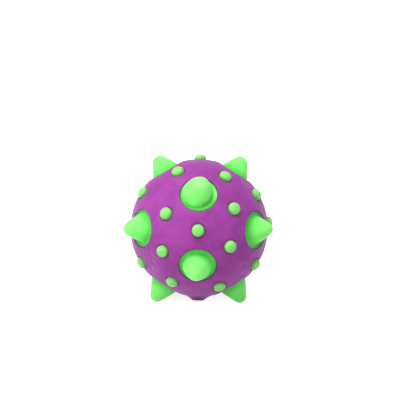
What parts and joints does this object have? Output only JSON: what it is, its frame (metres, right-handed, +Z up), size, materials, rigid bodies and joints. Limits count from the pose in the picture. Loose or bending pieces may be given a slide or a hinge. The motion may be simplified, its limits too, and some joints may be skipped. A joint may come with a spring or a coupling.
{
  "type": "sensory ball",
  "caption": "Soft rubber sensory ball: a skin with round openings, a soft spike pressed in and out in each, and small studs between them.",
  "frame": {"origin": "centre of the ball", "axes": "+Z up with the ball standing on its three foot spikes; -Y is the front; +X is the front's right"},
  "size_m": [0.0702, 0.08, 0.066],
  "materials": {
    "purple_rubber": "matte",
    "green_rubber": "satin"
  },
  "bodies": {
    "ball": {"outer_skin_upper": "purple_rubber", "outer_skin_lower": "purple_rubber", "inner_ball_upper": "green_rubber", "inner_ball_lower": "green_rubber", "neck_plug": "purple_rubber"},
    "spike_top_front": {"spike_top_front": "green_rubber"},
    "spike_top_left": {"spike_top_left": "green_rubber"},
    "spike_top_right": {"spike_top_right": "green_rubber"},
    "spike_upper_left": {"spike_upper_left": "green_rubber"},
    "spike_upper_right": {"spike_upper_right": "green_rubber"},
    "spike_upper_back": {"spike_upper_back": "green_rubber"},
    "spike_lower_front": {"spike_lower_front": "green_rubber"},
    "spike_lower_left": {"spike_lower_left": "green_rubber"},
    "spike_lower_right": {"spike_lower_right": "green_rubber"},
    "spike_foot_left": {"spike_foot_left": "green_rubber"},
    "spike_foot_right": {"spike_foot_right": "green_rubber"},
    "spike_foot_back": {"spike_foot_back": "green_rubber"}
  },
  "joints": [
    {"name": "press_top_front", "type": "slide", "parent": "ball", "child": "spike_top_front", "axis": [0, 0.6071, -0.7947], "range_m": [0, 0.004], "stiffness_N_per_m": 1500, "springref_m": -0.0005},
    {"name": "press_top_left", "type": "slide", "parent": "ball", "child": "spike_top_left", "axis": [0.5257, -0.3035, -0.7947], "range_m": [0, 0.004], "stiffness_N_per_m": 1500, "springref_m": -0.0005},
    {"name": "press_top_right", "type": "slide", "parent": "ball", "child": "spike_top_right", "axis": [-0.5257, -0.3035, -0.7947], "range_m": [0, 0.004], "stiffness_N_per_m": 1500, "springref_m": -0.0005},
    {"name": "press_upper_left", "type": "slide", "parent": "ball", "child": "spike_upper_left", "axis": [0.8507, 0.4911, -0.1876], "range_m": [0, 0.004], "stiffness_N_per_m": 1500, "springref_m": -0.0005},
    {"name": "press_upper_right", "type": "slide", "parent": "ball", "child": "spike_upper_right", "axis": [-0.8507, 0.4911, -0.1876], "range_m": [0, 0.004], "stiffness_N_per_m": 1500, "springref_m": -0.0005},
    {"name": "press_upper_back", "type": "slide", "parent": "ball", "child": "spike_upper_back", "axis": [0, -0.9822, -0.1876], "range_m": [0, 0.004], "stiffness_N_per_m": 1500, "springref_m": -0.0005},
    {"name": "press_lower_front", "type": "slide", "parent": "ball", "child": "spike_lower_front", "axis": [0, 0.9822, 0.1876], "range_m": [0, 0.004], "stiffness_N_per_m": 1500, "springref_m": -0.0005},
    {"name": "press_lower_left", "type": "slide", "parent": "ball", "child": "spike_lower_left", "axis": [0.8507, -0.4911, 0.1876], "range_m": [0, 0.004], "stiffness_N_per_m": 1500, "springref_m": -0.0005},
    {"name": "press_lower_right", "type": "slide", "parent": "ball", "child": "spike_lower_right", "axis": [-0.8507, -0.4911, 0.1876], "range_m": [0, 0.004], "stiffness_N_per_m": 1500, "springref_m": -0.0005},
    {"name": "press_foot_left", "type": "slide", "parent": "ball", "child": "spike_foot_left", "axis": [0.5257, 0.3035, 0.7947], "range_m": [0, 0.004], "stiffness_N_per_m": 1500, "springref_m": -0.0005},
    {"name": "press_foot_right", "type": "slide", "parent": "ball", "child": "spike_foot_right", "axis": [-0.5257, 0.3035, 0.7947], "range_m": [0, 0.004], "stiffness_N_per_m": 1500, "springref_m": -0.0005},
    {"name": "press_foot_back", "type": "slide", "parent": "ball", "child": "spike_foot_back", "axis": [0, -0.6071, 0.7947], "range_m": [0, 0.004], "stiffness_N_per_m": 1500, "springref_m": -0.0005}
  ]
}
